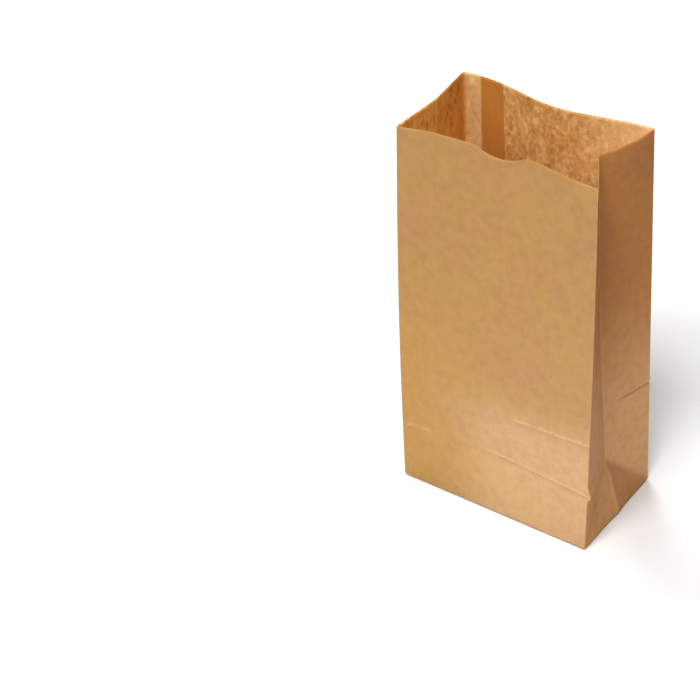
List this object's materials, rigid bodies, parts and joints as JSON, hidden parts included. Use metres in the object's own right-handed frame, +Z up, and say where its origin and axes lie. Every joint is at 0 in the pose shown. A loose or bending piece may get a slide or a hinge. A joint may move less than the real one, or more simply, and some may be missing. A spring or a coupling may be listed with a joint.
{
  "type": "brown paper lunch bag",
  "caption": "Small square-bottomed bag of brown kraft paper, standing open, with gusseted sides, a pinked mouth and a thumb cut in the front lip.",
  "frame": {"origin": "middle of the underside, on the surface the bag stands on", "axes": "+Z up out of the mouth; -Y is the front panel with the thumb cut; +Y is the back panel, whose glued lap is near its -X end; X across the width"},
  "size_m": [0.1326, 0.0795, 0.2455],
  "materials": {
    "kraft_paper": "unbleached natural kraft paper, matt, with a faint machine-direction grain and fibre flecks; light passes through a single layer"
  },
  "bodies": {
    "root": {"paper_bag": "kraft_paper"}
  },
  "joints": []
}
